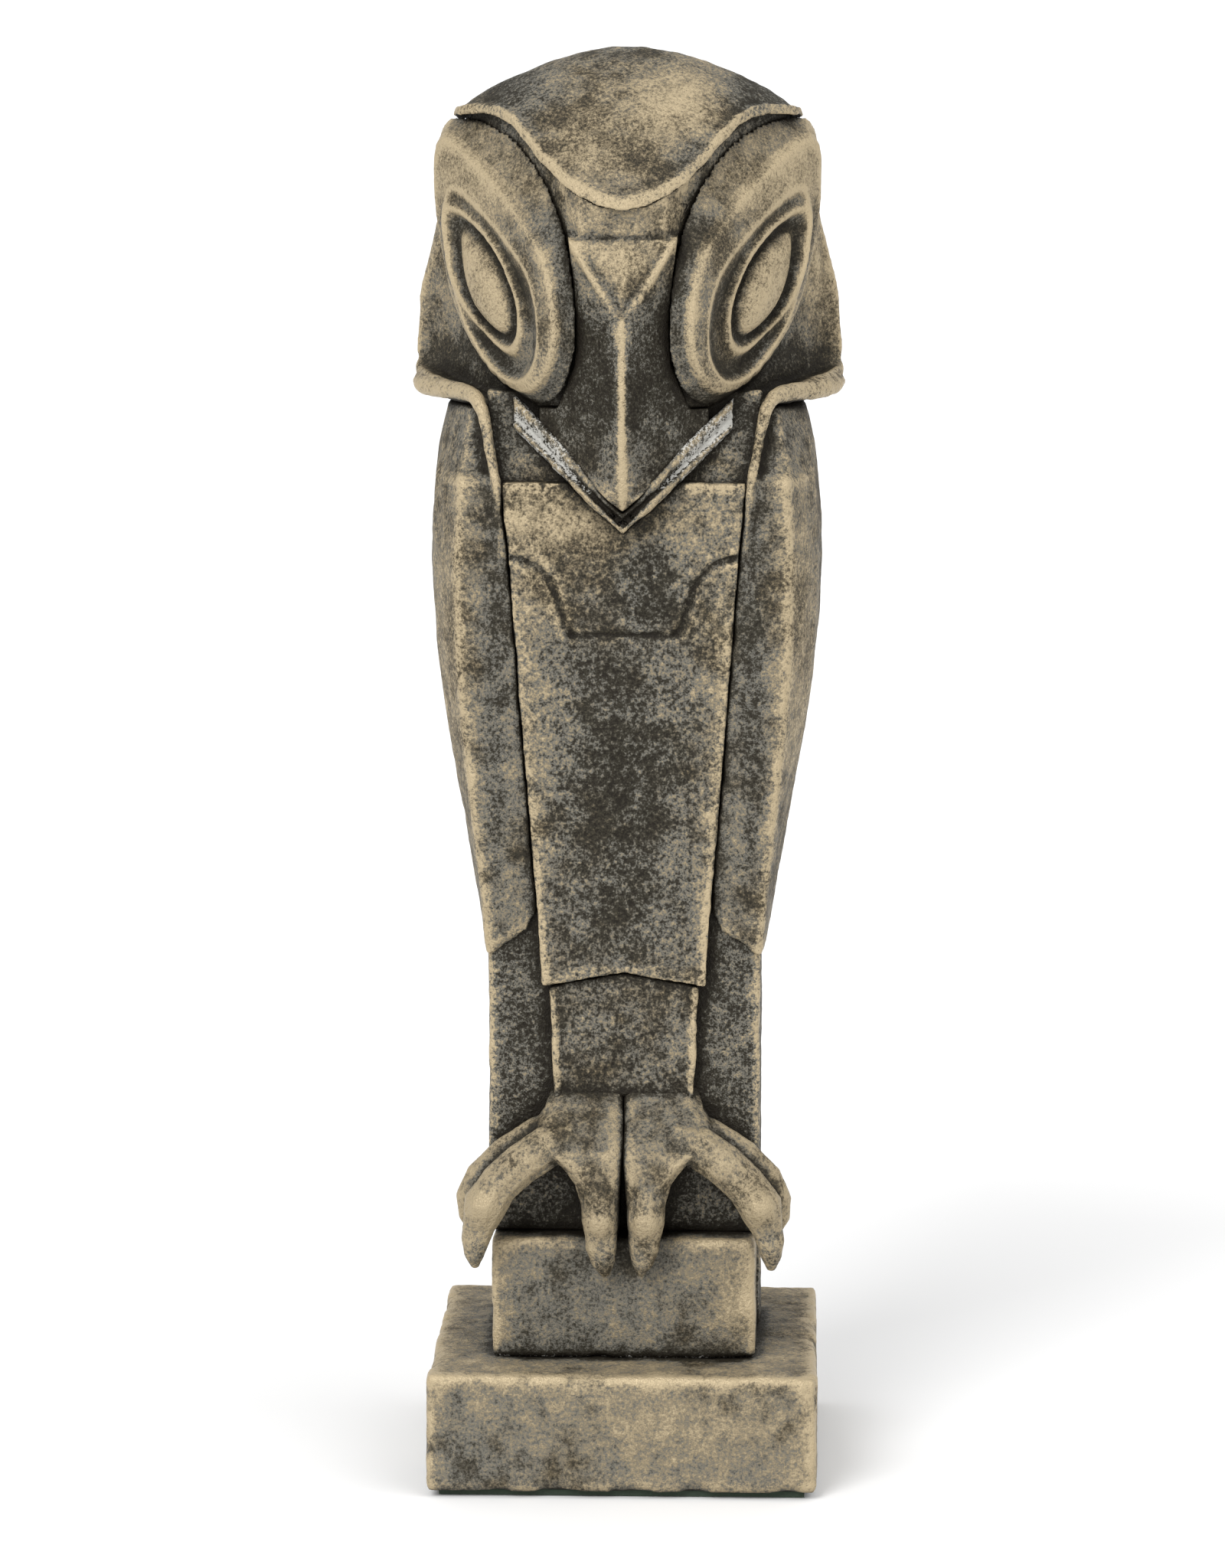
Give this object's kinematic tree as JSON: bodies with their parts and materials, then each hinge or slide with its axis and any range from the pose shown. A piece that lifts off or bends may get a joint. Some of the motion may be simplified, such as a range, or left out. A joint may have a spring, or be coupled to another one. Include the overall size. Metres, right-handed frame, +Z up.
{
  "type": "standing owl figurine",
  "caption": "Slender stylised owl with large turned eye discs and a visor crown, standing on a perch block and a square plinth.",
  "frame": {"origin": "centre of the base footprint, at the underside of the felt pad", "axes": "+Z up, the owl faces -Y, +X to the right of a viewer who faces it; left and right in node names are the viewer's"},
  "size_m": [0.0912, 0.0814, 0.2996],
  "materials": {
    "cast_plinth": "matte",
    "cast_body": "matte",
    "cast_wing": "matte",
    "cast_panel": "matte",
    "cast_gilt": "satin",
    "cast_ruff": "matte",
    "cast_head": "matte",
    "cast_disc": "satin",
    "felt": "matte",
    "steel": "satin",
    "dowel_wood": "matte"
  },
  "bodies": {
    "root": {"plinth": "cast_plinth", "felt_pad": "felt", "perch_block": "cast_plinth", "torso": "cast_body", "wing_left": "cast_wing", "wing_right": "cast_wing", "breast_panel": "cast_panel", "shin_panel": "cast_panel", "foot_left": "cast_gilt", "foot_right": "cast_gilt", "throat_ruff": "cast_ruff", "bill_wedge": "cast_head", "hood": "cast_head", "crown_cap": "cast_head", "eye_disc_left": "cast_disc", "eye_disc_right": "cast_disc", "eyelid_left": "cast_disc", "eyelid_right": "cast_disc", "eyeball_left": "cast_gilt", "eyeball_right": "cast_gilt", "tie_rod": "steel", "tie_nut": "steel", "tie_washer": "steel", "anchor_nut": "steel", "block_dowel_left": "dowel_wood", "block_dowel_right": "dowel_wood", "wing_dowel_upper": "dowel_wood", "wing_dowel_lower": "dowel_wood", "foot_pin_left": "steel", "foot_pin_right": "steel", "disc_pin_left": "dowel_wood", "disc_pin_right": "dowel_wood"}
  },
  "joints": []
}
